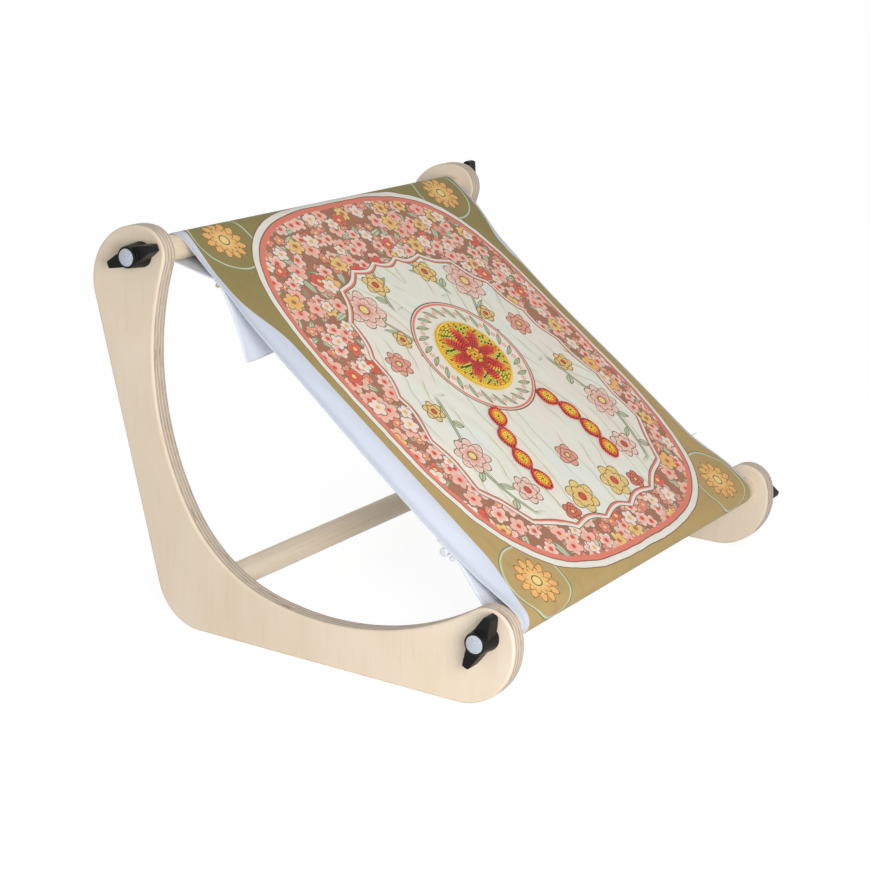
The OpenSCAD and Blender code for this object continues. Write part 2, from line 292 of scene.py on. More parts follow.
def turned(name, profile, matrix, sides=64, sharp=30):
    # a turned solid: profile is (radius, height) from one end of its axis to the other
    shape = bmesh.new()
    rings = []
    for radius, height in profile:
        if radius == 0:
            rings.append([shape.verts.new((0, 0, height * mm))])
        else:
            turns = [2 * math.pi * i / sides for i in range(sides)]
            rings.append([shape.verts.new((radius * mm * math.cos(turn), radius * mm * math.sin(turn),
                                           height * mm)) for turn in turns])
    for low, high in zip(rings, rings[1:]):
        for i in range(sides):
            corners = [low[i % len(low)], low[(i + 1) % len(low)], high[(i + 1) % len(high)],
                       high[i % len(high)]]
            shape.faces.new(list(dict.fromkeys(corners)))
    shape.transform(matrix)
    bmesh.ops.recalc_face_normals(shape, faces=shape.faces)
    for edge in shape.edges:
        if len(edge.link_faces) == 2 and edge.calc_face_angle() > math.radians(sharp):
            edge.smooth = False
    return toMesh(shape, name)


def sidePlace(nodeName):
    # the middle of a node in the side view
    low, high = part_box(nodeName)
    return (low.y + high.y) / 2, (low.z + high.z) / 2


def endMatrix(rollerName, side):
    # local Z leaves the cheek's outer face outwards, at a roller's axis
    y, z = sidePlace(rollerName)
    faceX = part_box("right_cheek")[1].x
    return Matrix.Translation((side * faceX, y, z)) @ Matrix.Rotation(side * math.pi / 2, 4, "Y")


# Plywood cheeks
cheek = {"thickness": 12.0, "plies": 9, "arris": 1.7, "arrisSteps": 5, "holeClear": 13.0,
         "knots": ((-1, 102.0, 210.0, 1.5), (1, -26.0, 44.0, 2.1))}


def plywoodMaterial():
    material, nodes = newMaterial("birchPlywood")
    place = objectPlace(nodes)
    x, y, z = nodes.split(place)
    depth = (abs(x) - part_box("right_cheek")[0].x) / (cheek["thickness"] * mm) * cheek["plies"]
    odd = nodes.maths("MODULO", nodes.maths("FLOOR", depth), 2.0)
    glueLine = nodes.fall(nodes.maths("PINGPONG", depth, 0.5), 0.03, 0.11)

    figure = nodes.noise(nodes.join(y * 20, z * 9), 1.0, 3, 0.5, warp=1.1)
    streaks = nodes.noise(nodes.join(y * 420, z * 30, x * 90), 1.0, 3, 0.6)
    cloudy = nodes.noise(nodes.join(y * 34, z * 30), 1.0, 3, 0.5)
    veneer = nodes.ramp(figure, (0.30, tone(231, 214, 187)), (0.5, tone(235, 219, 195)),
                        (0.68, tone(238, 223, 202)))
    veneer = nodes.mix(nodes.rise(cloudy, 0.4, 0.7) * 0.5, veneer, tone(238, 217, 198))
    veneer = nodes.mix(nodes.rise(streaks, 0.5, 0.8) * 0.14, veneer, tone(196, 168, 134))
    for side, knotY, knotZ, size in cheek["knots"]:
        away = nodes.vector("LENGTH", nodes.join(y - knotY * mm, (z - knotZ * mm) * 0.8), out="Value")
        here = nodes.rise(x * side, 0.0, 10 * mm)
        veneer = nodes.mix(nodes.fall(away, size * mm, size * 4 * mm) * here * 0.25, veneer,
                           tone(226, 190, 170))
        veneer = nodes.mix(nodes.fall(away, size * 0.3 * mm, size * mm) * here * 0.6, veneer,
                           tone(172, 116, 94))

    along = nodes.noise(nodes.join(x * 900, y * 130, z * 130), 1.0, 3, 0.65)
    pores = nodes.noise(nodes.join(x * 500, y * 60, z * 60), 1.0, 2, 0.5)
    endGrain = nodes.mix(nodes.rise(along, 0.38, 0.7) * 0.7, tone(204, 188, 168), tone(166, 147, 124))
    longGrain = nodes.mix(nodes.rise(along, 0.4, 0.75) * 0.5, tone(224, 209, 190), tone(198, 181, 158))
    edgeWood = nodes.mix(odd, longGrain, endGrain)
    edgeWood = nodes.mix(glueLine * 0.6, edgeWood, tone(150, 122, 102))
    edgeWood = nodes.mix(nodes.rise(pores, 0.6, 0.7) * 0.6, edgeWood, tone(150, 108, 90))

    outer = nodes.rise(nodes.maths("ABSOLUTE", depth - cheek["plies"] / 2), cheek["plies"] / 2 - 1.02,
                       cheek["plies"] / 2 - 0.93)
    colour = nodes.mix(outer, edgeWood, veneer)
    rough = streaks * 0.5 + along * (1 - outer) * 0.8 - glueLine * (1 - outer)
    nodes.surface({"Base Color": colour,
                   "Roughness": 0.5 + nodes.rise(streaks, 0.3, 0.8) * 0.14,
                   "Specular IOR Level": 0.3,
                   "Normal": nodes.bump(rough, 0.22, 0.15 * mm)})
    return material


def makeCheeks():
    material = plywoodMaterial()
    holes = [sidePlace("top_roller"), sidePlace("front_roller"), sidePlace("crossbar")]

    def onOutline(vert):
        return all(math.hypot(vert.co.y - y, vert.co.z - z) > cheek["holeClear"] * mm for y, z in holes)
    for nodeName in ("left_cheek", "right_cheek"):
        shape = cadShape(nodeName)
        bmesh.ops.dissolve_limit(shape, angle_limit=math.radians(0.4), verts=shape.verts,
                                 edges=shape.edges)
        arrises = [edge for edge in shape.edges if len(edge.link_faces) == 2
                   and edge.calc_face_angle() > math.radians(60) and all(map(onOutline, edge.verts))]
        bmesh.ops.bevel(shape, geom=arrises, offset=cheek["arris"] * mm, affect="EDGES",
                        segments=cheek["arrisSteps"], profile=0.5)
        mesh = toMesh(shape, nodeName + "Shape")
        for polygon in mesh.polygons:
            polygon.use_smooth = abs(polygon.normal.x) < 0.999
        newObject(camel(nodeName), mesh, [material], "stand", [nodeName])
        print("cheek", camel(nodeName), len(mesh.polygons), "faces,", len(arrises), "rounded edges")


# Rollers and crossbar
dowel = {"chamfer": 0.5, "boreRadius": 3.0, "boreDepth": 28.0}


def dowelMaterial():
    material, nodes = newMaterial("beechDowel")
    x, y, z = nodes.split(objectPlace(nodes))
    grain = nodes.noise(nodes.join(x * 9, y * 420, z * 420), 1.0, 3, 0.6)
    flecks = nodes.noise(nodes.join(x * 70, y * 900, z * 900), 1.0, 2, 0.5)
    broad = nodes.noise(nodes.join(x * 4, y * 90, z * 90), 1.0, 2, 0.5, warp=0.5)
    colour = nodes.ramp(broad, (0.3, tone(232, 212, 182)), (0.6, tone(239, 223, 198)),
                        (0.75, tone(242, 229, 208)))
    colour = nodes.mix(nodes.rise(grain, 0.48, 0.78) * 0.3, colour, tone(206, 176, 140))
    colour = nodes.mix(nodes.rise(flecks, 0.62, 0.76) * 0.25, colour, tone(186, 148, 112))
    nodes.surface({"Base Color": colour, "Roughness": 0.48 + nodes.rise(grain, 0.3, 0.8) * 0.14,
                   "Specular IOR Level": 0.3,
                   "Normal": nodes.bump(grain + flecks * 0.5, 0.2, 0.12 * mm)})
    return material


def makeDowels():
    material = dowelMaterial()
    along = Matrix.Rotation(math.pi / 2, 4, "Y")
    for nodeName, name, bored in (("top_roller", "topRoller", True),
                                  ("front_roller", "frontRoller", True),
                                  ("crossbar", "gluedCrossbar", False)):
        low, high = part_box(nodeName)
        radius = (high.z - low.z) / 2 / mm
        half = (high.x - low.x) / 2 / mm
        y, z = sidePlace(nodeName)
        chamfer = dowel["chamfer"]
        if bored:
            start = [(0, dowel["boreDepth"] - half), (dowel["boreRadius"], dowel["boreDepth"] - half),
                     (dowel["boreRadius"], -half)]
        else:
            start = [(0, -half)]
        start += [(radius - chamfer, -half), (radius, chamfer - half)]
        profile = start + [(r, -h) for r, h in reversed(start)]
        mesh = turned(name + "Shape", profile, Matrix.Translation((0, y, z)) @ along, 72)
        newObject(name, mesh, [material], nodeName if bored else "stand", [nodeName])
        print("dowel", name, round(2 * radius, 2), "by", round(2 * half, 1), "mm")


# Wing knobs with their caps, inserts and studs
knob = {"skin": 0.28, "soften": 11, "capRadius": 5.5, "capEdge": 0.5, "capCrown": 0.7, "capDepth": 1.8,
        "hubLength": 15.0, "wingRoot": 8.0, "wingTip": 20.0, "wingMiddle": 8.0, "drawnIn": 0.09,
        "deeper": 0.26, "thicker": 0.14}
ends = [("top_left", "top_roller", -1), ("top_right", "top_roller", 1),
        ("front_left", "front_roller", -1), ("front_right", "front_roller", 1)]


def knobMaterial():
    material, nodes = newMaterial("blackNylon")
    place = objectPlace(nodes)
    grit = nodes.noise(place, 2600.0, 2, 0.6)
    cloudy = nodes.noise(place, 240.0, 3, 0.5)
    colour = nodes.mix(nodes.rise(cloudy, 0.3, 0.75), tone(12, 12, 13), tone(20, 20, 20))
    nodes.surface({"Base Color": colour, "Roughness": 0.38 + nodes.rise(cloudy, 0.3, 0.8) * 0.14,
                   "Specular IOR Level": 0.16,
                   "Normal": nodes.bump(grit, 0.18, 0.05 * mm)})
    return material


def capMaterial():
    material, nodes = newMaterial("greyCap")
    place = objectPlace(nodes)
    blotches = nodes.noise(place, 900.0, 3, 0.6)
    specks = nodes.noise(place, 2200.0, 2, 0.6)
    colour = nodes.ramp(blotches, (0.34, tone(170, 179, 188)), (0.5, tone(184, 191, 201)),
                        (0.64, tone(196, 202, 212)))
    colour = nodes.mix(nodes.rise(specks, 0.6, 0.7) * 0.3, colour, tone(160, 167, 180))
    nodes.surface({"Base Color": colour, "Roughness": 0.42 + nodes.rise(blotches, 0.3, 0.7) * 0.12,
                   "Normal": nodes.bump(blotches, 0.15, 0.08 * mm)})
    return material


def metalMaterial(name, colour, roughness, pitch, depth):
    # turned metal with a thread or grooves round X
    material, nodes = newMaterial(name)
    place = objectPlace(nodes)
    x = nodes.split(place)[0]
    scratches = nodes.noise(place, 1500.0, 3, 0.6)
    crest = nodes.maths("PINGPONG", x, pitch * mm / 2) / (pitch * mm / 2)
    dull = nodes.rise(scratches, 0.3, 0.8) * 0.4
    nodes.surface({"Base Color": nodes.mix(dull, colour, tone(120, 112, 100)),
                   "Metallic": 1.0, "Roughness": roughness + scratches * 0.15,
                   "Normal": nodes.bump(crest + scratches * 0.1, 0.6, depth * mm)})
    return material


def squareWings(shape, roller):
    # draws the wings in a little and makes them deeper and thicker towards their tips
    middleY, middleZ = sidePlace(roller)
    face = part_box("right_cheek")[1].x
    offs = [(vert.co.y - middleY, vert.co.z - middleZ) for vert in shape.verts]
    farY, farZ = max(offs, key=lambda off: math.hypot(*off))
    wayY, wayZ = farY / math.hypot(farY, farZ), farZ / math.hypot(farY, farZ)
    for vert, (offY, offZ) in zip(shape.verts, offs):
        along = offY * wayY + offZ * wayZ
        across = offZ * wayY - offY * wayZ
        share = (abs(along) / mm - knob["wingRoot"]) / (knob["wingTip"] - knob["wingRoot"])
        share = min(max(share, 0), 1)
        along *= 1 - knob["drawnIn"] * share
        across *= 1 + knob["thicker"] * share
        middle = math.copysign(face + knob["wingMiddle"] * mm, vert.co.x)
        vert.co = (middle + (vert.co.x - middle) * (1 + knob["deeper"] * share),
                   middleY + along * wayY - across * wayZ, middleZ + along * wayZ + across * wayY)


def makeKnobs():
    black, pale = knobMaterial(), capMaterial()
    brass = metalMaterial("knurledBrass", tone(201, 168, 92), 0.28, 0.5, 0.15)
    steel = metalMaterial("threadedSteel", tone(182, 185, 190), 0.26, 1.0, 0.3)
    for end, roller, side in ends:
        shape = cadShape(end + "_knob")
        squareWings(shape, roller)
        rough = addObject("rough", toMesh(shape, "rough"))
        skin = rough.modifiers.new("skin", "REMESH")
        skin.mode = "VOXEL"
        skin.voxel_size = knob["skin"] * mm
        skin.use_smooth_shade = True
        soften = rough.modifiers.new("soften", "SMOOTH")
        soften.iterations = knob["soften"]
        mesh = bakedMesh(rough)
        newObject(camel(end + "_knob"), mesh, [black], end + "_knob", [end + "_knob"])

        base = knob["hubLength"] - knob["capDepth"]
        radius, edge, crown = knob["capRadius"], knob["capEdge"], knob["capCrown"]
        face = knob["hubLength"]
        profile = [(0, base), (radius - edge / 2, base), (radius, base + edge / 2)]
        profile += [(radius - edge * (1 - math.cos(turn)), face - edge + edge * math.sin(turn))
                    for turn in (0, 0.5, 1.0, 1.4)]
        profile += [((radius - edge) * share, face + crown * (1 - share ** 2))
                    for share in (0.9, 0.7, 0.45, 0.2)] + [(0, face + crown)]
        cap = turned(end + "Cap", profile, endMatrix(roller, side), 48, 40)
        newObject(camel(end + "_cap"), cap, [pale], end + "_knob", [end + "_cap"])
        paint(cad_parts[end + "_insert"].data, brass)
        paint(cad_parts[end + "_stud"].data, steel)
        print("knob", end, len(mesh.polygons), "faces")


# Cloth: s runs up the slope from the front roller's axis, t stands square to it
cloth = {"width": 327.0, "shift": 2.5, "rollerGap": 0.3, "cadThickness": 0.8, "thickness": 0.5,
         "rollerRadius": 8.0, "layerGap": 0.15, "topPinBack": 39.0, "frontPinBack": 51.0, "pinned": 8.0,
         "tailLength": 47.0, "tailStart": 20.0, "tailEnd": 34.0, "frontTail": 14.0, "leftMargin": 16.0,
         "rightMargin": 7.0, "leftDroop": 5.4, "rightDroop": 2.0, "droopStart": 28.0, "droopAt": 70.0,
         "droopFade": 100.0, "droopShare": 0.74, "leftPull": 6.5, "leftPullBelow": 45.0,
         "leftPullAbove": 40.0, "leftPullShare": 0.6, "rightPull": 9.3, "rightPullFrom": 16.0,
         "rightPullRise": 40.0, "rightPullTo": 300.0, "rightPullFall": 50.0, "rightBow": 5.2,
         "rightBowAt": 195.0, "rightBowWide": 62.0, "rightReach": 70.0, "underShare": 0.8,
         "tailWave": 3.5, "tailWaveLong": 11.0, "tailWaveStart": 1.2, "tailCalm": 0.3,
         "tailCalmReach": 55.0, "step": 2.4}
printed = {"left": -143.0, "right": 163.5, "front": -19.0, "back": 329.0,
           "middleX": 7.0, "middleS": 158.5}


def slopeFrame():
    frontY, frontZ = sidePlace("front_roller")
    topY, topZ = sidePlace("top_roller")
    span = math.hypot(topY - frontY, topZ - frontZ) / mm
    slope = math.atan2(topZ - frontZ, topY - frontY)
    return (frontY, frontZ), span, slope


frontAxis, span, slope = slopeFrame()
wrapRadius = cloth["rollerRadius"] + cloth["rollerGap"] + cloth["cadThickness"] / 2
underT = wrapRadius - cloth["cadThickness"] - cloth["layerGap"]
clothLeft = cloth["shift"] - cloth["width"] / 2
clothRight = cloth["shift"] + cloth["width"] / 2


def fromSlope(x, s, t):
    # millimetres on the slope to metres in the stand's frame
    y = frontAxis[0] + (s * math.cos(slope) - t * math.sin(slope)) * mm
    z = frontAxis[1] + (s * math.sin(slope) + t * math.cos(slope)) * mm
    return (x * mm, y, z)


def ease(share):
    share = np.clip(share, 0, 1)
    return share * share * (3 - 2 * share)


def pull(s):
    # how far the top pins pull the left edge in
    fromPins = s - (span - cloth["topPinBack"])
    below, above = ease(fromPins / cloth["leftPullBelow"] + 1), ease(fromPins / cloth["leftPullAbove"])
    return cloth["leftPull"] * (cloth["leftPullShare"] * below + (1 - cloth["leftPullShare"]) * above)


def neck(s):
    # how far the right edge draws in between the rollers
    fromFront = ease((s - cloth["rightPullFrom"]) / cloth["rightPullRise"])
    fromTop = ease((cloth["rightPullTo"] - s) / cloth["rightPullFall"])
    bow = cloth["rightBow"] * np.exp(-((s - cloth["rightBowAt"]) / cloth["rightBowWide"]) ** 2)
    return fromFront * fromTop * (cloth["rightPull"] + bow)


def pulled(x, s, share):
    # where a point of the flat cloth comes to lie across the stand
    left = pull(s) * np.maximum(1 - (x - clothLeft) / cloth["leftMargin"], 0)
    right = share * neck(s) * np.maximum(1 - (clothRight - x) / cloth["rightReach"], 0) ** 2
    return x + left - right


def droop(x, s):
    # how far the loose margins hang below the stretched middle
    between = np.clip(s / span, 0, 1)
    rising = 1 - np.exp(-(s / cloth["droopStart"]) ** 2)
    front = rising * np.exp(-(np.maximum(s - cloth["droopAt"], 0) / cloth["droopFade"]) ** 2)
    sag = cloth["droopShare"] * front + (1 - cloth["droopShare"]) * np.sin(math.pi * between)
    along = np.where((s <= 0) | (s >= span), 0, sag)
    left = ease((clothLeft + cloth["leftMargin"] - x) / (cloth["leftMargin"] - pull(s)))
    right = ease((x - clothRight + neck(s) + cloth["rightMargin"]) / cloth["rightMargin"])
    return along * (left * cloth["leftDroop"] + right * cloth["rightDroop"])


def clothLine():
    # the cloth's middle line from the tail's free edge to the front pins, in even steps
    topPinned = np.array([span - cloth["topPinBack"] + cloth["pinned"] / 2, underT])
    tailRoot = np.array([span - cloth["topPinBack"] - cloth["pinned"] / 2, underT])
    frontPinned = np.array([cloth["frontPinBack"] - cloth["pinned"] / 2, underT])
    topReach = np.array([span, 0]) - topPinned
    topReturn = math.atan2(topReach[1], topReach[0]) - math.asin(wrapRadius / np.hypot(*topReach))
    frontReturn = math.atan2(frontPinned[1], frontPinned[0])
    frontReturn += math.asin(wrapRadius / np.hypot(*frontPinned))
    start, end = math.radians(180 + cloth["tailStart"]), math.radians(180 + cloth["tailEnd"])
    bendRadius = cloth["tailLength"] / (end - start)
    tailSteps, arcSteps = 30, 60

    def arc(centre, first, last):
        turns = np.linspace(first, last, arcSteps)
        return [centre + wrapRadius * np.array([math.cos(turn), math.sin(turn)]) for turn in turns]
    points = [tailRoot + bendRadius * np.array([math.sin(turn) - math.sin(start),
                                                math.cos(start) - math.cos(turn)])
              for turn in np.linspace(end, start, tailSteps)]
    points += [topPinned]
    points += arc(np.array([span, 0]), topReturn - math.pi / 2, math.pi / 2)
    points += arc(np.array([0, 0]), math.pi / 2, 3 * math.pi / 2 + frontReturn)
    points += [frontPinned, np.array([cloth["frontPinBack"] + cloth["frontTail"], underT])]
    points = np.array(points)
    lengths = np.r_[0, np.cumsum(np.hypot(*np.diff(points, axis=0).T))]
    steps = int(round(lengths[-1] / cloth["step"]))
    even = np.linspace(0, lengths[-1], steps + 1)
    line = np.c_[np.interp(even, lengths, points[:, 0]), np.interp(even, lengths, points[:, 1])]
    return line, even, lengths[tailSteps + arcSteps]


def makeCloth():
    line, even, topEnd = clothLine()
    across = int(round(cloth["width"] / cloth["step"]))
    xs = np.linspace(clothLeft, clothRight, across + 1)
    pinsAt = span - cloth["topPinBack"]
    verts, uvs = [], []
    for (s, t), run in zip(line, even):
        share = 1 if topEnd <= run <= topEnd + span else cloth["underShare"]
        places = pulled(xs, max(s, pinsAt) if run < cloth["tailLength"] else s, share)
        free = max(0, 1 - run / cloth["tailLength"]) ** 2
        calm = (1 - cloth["tailCalm"]) * np.exp(-(xs - clothLeft) / cloth["tailCalmReach"])
        wave = np.cos((xs - clothLeft) / cloth["tailWaveLong"] - cloth["tailWaveStart"])
        curl = cloth["tailWave"] * free * (calm + cloth["tailCalm"]) * wave
        for x, place, low in zip(xs, places, droop(places, s) + curl):
            verts.append(fromSlope(place, s, t - low))
            uvs.append(((x - clothLeft) / cloth["width"], run / even[-1]))
    wide = across + 1
    faces = [(i * wide + j, (i + 1) * wide + j, (i + 1) * wide + j + 1, i * wide + j + 1)
             for i in range(len(line) - 1) for j in range(across)]
    mesh = bpy.data.meshes.new("clothShape")
    mesh.from_pydata(verts, [], faces)
    layer = mesh.uv_layers.new(name="UVMap")
    for loop in mesh.loops:
        layer.data[loop.index].uv = uvs[loop.vertex_index]
    for polygon in mesh.polygons:
        polygon.use_smooth = True
    materials = [printMaterial(topEnd, even[-1]), reverseMaterial()]
    piece = newObject("pinnedCloth", mesh, materials, "stand", ["cloth"])
    thick = piece.modifiers.new("thickness", "SOLIDIFY")
    thick.thickness = cloth["thickness"] * mm
    thick.offset = 0
    thick.material_offset = 1
    thick.material_offset_rim = 1
    print("cloth", round(even[-1], 1), "mm long,", len(faces), "faces")
    return piece, even[-1]


# Print: p runs across the cloth and q up it, in millimetres from the print's middle
panel = {"halfWidth": 141.0, "halfHeight": 160.0, "power": 3.2, "reach": 150.0,
         "gardenTop": 56.0, "gardenFoot": 27.0, "lobes": 22, "lobeDepth": 4.0}
rosette = {"p": 0.0, "q": 10.0, "radius": 30.0, "petals": 8, "petalDepth": 0.44, "redTo": 0.2,
           "scarletTo": 0.34, "orangeTo": 0.42}


class Print(Nodes):
    # the cloth's print: shapes are masks, laid one over another on one colour
    def lay(self, mask, colour):
        self.colour = self.mix(mask, self.colour, colour)

    def begin(self, colour):
        # a part of the print that is laid on its own and then cut to its outline by close
        self.below.append(self.colour)
        self.colour = colour

    def close(self, mask):
        self.colour = self.mix(mask, self.below.pop(), self.colour)

    def inside(self, distance, soft=0.25):
        # distance is positive inside a shape, in millimetres
        return self.rise(distance, -soft, soft)

    def outline(self, distance, width=0.5, soft=0.25):
        return self.fall(abs(distance), width / 2, width / 2 + soft * 2)

    def length(self, x, y):
        return self.maths("SQRT", x * x + y * y)

    def angle(self, x, y):
        return self.maths("ARCTAN2", y, x)

    def petalEdge(self, turn, count, radius, depth):
        # radius of a flower's edge in each direction
        return (abs(self.maths("COSINE", turn * (count / 2))) * depth + (1 - depth)) * radius

    def scattered(self, p, q, cell, shift, spread=0.85):
        # each cell's own place in millimetres, and two values of its own
        place = self.join(p / cell + shift, q / cell - shift)
        middle, chance = self.add("ShaderNodeTexVoronoi", {"voronoi_dimensions": "2D"},
                                  {"Vector": place, "Scale": 1.0, "Randomness": spread},
                                  ("Position", "Color"))
        x, y = self.split(self.vector("SUBTRACT", place, middle))[:2]
        first, second = self.split(chance)[:2]
        return x * cell, y * cell, first, second

    def blossoms(self, p, q, cell, shift, radius, pale, deep, heart, edge, count=5, share=1.0):
        x, y, chance, other = self.scattered(p, q, cell, shift)
        r = self.length(x, y)
        turn = self.angle(x, y) + chance * 6.28
        rim = self.petalEdge(turn, count, radius, 0.34) * (other * 0.3 + 0.75)
        mask = self.inside(rim - r) * self.fall(chance, share - 0.01, share)
        tint = self.mix(self.rise(r / rim, 0.25, 0.95), deep, pale)
        tint = self.mix(self.rise(other, 0.55, 0.75) * 0.6, tint, deep)
        self.lay(mask, tint)
        self.lay(mask * self.outline(rim - r - 0.3, 0.35), edge)
        self.lay(mask * self.fall(r, radius * 0.16, radius * 0.26), heart)

    def leaf(self, along, across, long, wide, within, pale, vein, rim, soft):
        # a pointed leaf with a vein, and only where within is 1
        toEdge = (1 - (along / long) ** 2) * wide - abs(across)
        mask = self.inside(toEdge) * within
        self.lay(mask, pale)
        self.lay(mask * self.outline(toEdge - 0.2, rim), vein)
        self.lay(mask * self.outline(across, 0.2, soft), vein)

    def leaves(self, p, q, cell, shift, long, wide, pale, vein, share=1.0):
        x, y, chance, other = self.scattered(p, q, cell, shift)
        turn = chance * 6.28
        c, s = self.maths("COSINE", turn), self.maths("SINE", turn)
        self.leaf(x * c + y * s, y * c - x * s, long, wide, self.fall(other, share - 0.01, share),
                  pale, vein, 0.3, 0.15)

    def bloom(self, x, y, radius, count, inner, outer, edge, heart, depth=0.22, turnBy=0.0):
        # one large flower: overlapping rows of petals with fine veins
        r = self.length(x, y)
        turn = self.angle(x, y) + turnBy
        for share, shift in ((1.0, 0.0), (0.68, math.pi / count)):
            rim = self.petalEdge(turn + shift, count, radius * share, depth)
            mask = self.inside(rim - r)
            veins = self.rise(self.maths("COSINE", turn * (count * 4)), 0.72, 0.95)
            tint = self.mix(self.rise(r / rim, 0.15, 1.0), inner, outer)
            self.lay(mask, tint)
            self.lay(mask * veins * self.rise(r / rim, 0.3, 0.6) * 0.35, edge)
            self.lay(mask * self.outline(rim - r - 0.35, 0.45), edge)
        self.lay(self.inside(radius * 0.22 - r), heart)
        self.lay(self.outline(r - radius * 0.22, 0.4), edge)

    def wreath(self, r, turn, radius, count, long, wide, lean, pale, edge):
        # leaves set round a circle
        share = self.maths("FRACT", turn * (count / (2 * math.pi)) + 100.0) - 0.5
        x = share * (2 * math.pi * radius / count)
        y = r - radius
        c, s = math.cos(lean), math.sin(lean)
        self.leaf(x * c + y * s, y * c - x * s, long, wide, 1, pale, edge, 0.35, 0.2)


def printMaterial(topEnd, length):
    material = newMaterial("printedCotton")[0]
    nodes = Print(material.node_tree)
    nodes.below = []
    u, v = nodes.split(nodes.add("ShaderNodeTexCoord", None, None, "UV"))[:2]
    x = u * cloth["width"] + clothLeft
    s = span + topEnd - v * length
    p, q = x - printed["middleX"], s - printed["middleS"]
    wobble = nodes.noise(nodes.join(p / 22, q / 22), 1.0, 2, 0.5) - 0.5
    handP, handQ = p + wobble * 3, q + wobble * 2.4
    side, height = abs(handP), abs(handQ)

    dark, brown, cream = tone(126, 86, 62), tone(176, 122, 96), tone(242, 238, 226)
    olive, gold = tone(146, 134, 80), tone(190, 162, 106)
    coral, pink, palePink = tone(234, 134, 114), tone(248, 182, 162), tone(253, 224, 208)
    orange, yellow, red = tone(248, 184, 108), tone(246, 220, 142), tone(228, 86, 70)
    mint, leafLine = tone(200, 212, 182), tone(136, 132, 88)

    # olive ground, with more gold in it towards the front
    stain = nodes.noise(nodes.join(p / 40, q / 40), 1.0, 3, 0.55)
    nodes.colour = nodes.mix(nodes.rise(q * -1 + stain * 120, -110, 150), olive, gold)
    nodes.lay(nodes.rise(stain, 0.5, 0.75) * 0.35, tone(168, 148, 84))
    nodes.lay(nodes.rise(nodes.noise(nodes.join(p / 9, q / 30), 1.0, 3, 0.6), 0.5, 0.8) * 0.3, brown)

    # small suns in the corners
    cornerX, cornerY = side - 128, height - 146
    nodes.lay(nodes.outline(nodes.length(cornerX, cornerY) - 26, 1.1), mint)
    nodes.lay(nodes.outline(nodes.length(cornerX, cornerY) - 27, 0.4), leafLine)
    nodes.bloom(cornerX, cornerY, 17, 12, yellow, orange, dark, yellow, 0.3)

    # frame: a rounded band of cream and coral lines
    power = panel["power"]
    ring = (side / panel["halfWidth"]) ** power + (height / panel["halfHeight"]) ** power
    depth = (1 - ring ** (1 / power)) * panel["reach"]
    nodes.lay(nodes.inside(depth + 2.4), dark)
    nodes.lay(nodes.inside(depth + 1.8), cream)
    nodes.lay(nodes.inside(depth - 2.2), dark)
    nodes.lay(nodes.inside(depth - 2.9), coral)

    # garden: blossoms and leaves on brown
    nodes.begin(nodes.mix(nodes.rise(stain, 0.45, 0.7) * 0.5, brown, tone(160, 108, 84)))
    nodes.leaves(handP, handQ, 15.0, 3.3, 8.4, 2.8, mint, leafLine, 0.85)
    nodes.blossoms(handP, handQ, 12.0, 1.9, 5.8, pink, coral, yellow, dark, share=0.8)
    nodes.blossoms(handP, handQ, 14.5, 7.7, 8.2, palePink, pink, red, dark)
    nodes.blossoms(handP, handQ, 23.0, 5.2, 8.8, yellow, orange, brown, dark, 6, 0.36)
    nodes.blossoms(handP, handQ, 24.0, 9.4, 7.8, coral, red, yellow, dark, 5, 0.26)
    nodes.blossoms(handP, handQ, 19.0, 3.1, 7.4, cream, palePink, orange, dark, 5, 0.5)
    nodes.close(nodes.inside(depth - 6.4))

    # field: cream with flowing lines, inside a lobed edge
    upward = nodes.rise(handQ, -90, 90)
    fieldStart = upward * (panel["gardenTop"] - panel["gardenFoot"]) + panel["gardenFoot"]
    around = nodes.angle(handP / panel["halfWidth"], handQ / panel["halfHeight"])
    lobe = abs(nodes.maths("SINE", around * (panel["lobes"] / 2))) * panel["lobeDepth"]
    inner = depth - fieldStart - lobe
    nodes.lay(nodes.inside(inner + 2.6), dark)
    nodes.lay(nodes.inside(inner + 2.0), cream)
    nodes.lay(nodes.inside(inner), coral)
    nodes.lay(nodes.inside(inner - 1.3), dark)
    wash = nodes.noise(nodes.join(p / 55, q / 75), 1.0, 3, 0.55)
    nodes.begin(nodes.ramp(wash, (0.3, tone(236, 241, 234)), (0.48, tone(242, 241, 227)),
                           (0.6, tone(245, 237, 223)), (0.72, tone(248, 234, 223))))
    sway = nodes.maths("SINE", q / 37 + 0.6) * 1.1 + nodes.maths("SINE", q / 19 + p / 46) * 0.5
    folds = nodes.maths("FRACT", side / 12.5 + sway + wash * 2.2 + 8)
    faint = nodes.rise(nodes.noise(nodes.join(p / 26 + 7, q / 40), 1.0, 1, 0.5), 0.36, 0.56)
    nodes.lay(nodes.fall(folds, 0, 0.34) * faint * 0.4, tone(218, 214, 166))
    nodes.lay(nodes.outline(folds - 0.03, 0.02, 0.012) * faint * 0.75, tone(168, 152, 108))

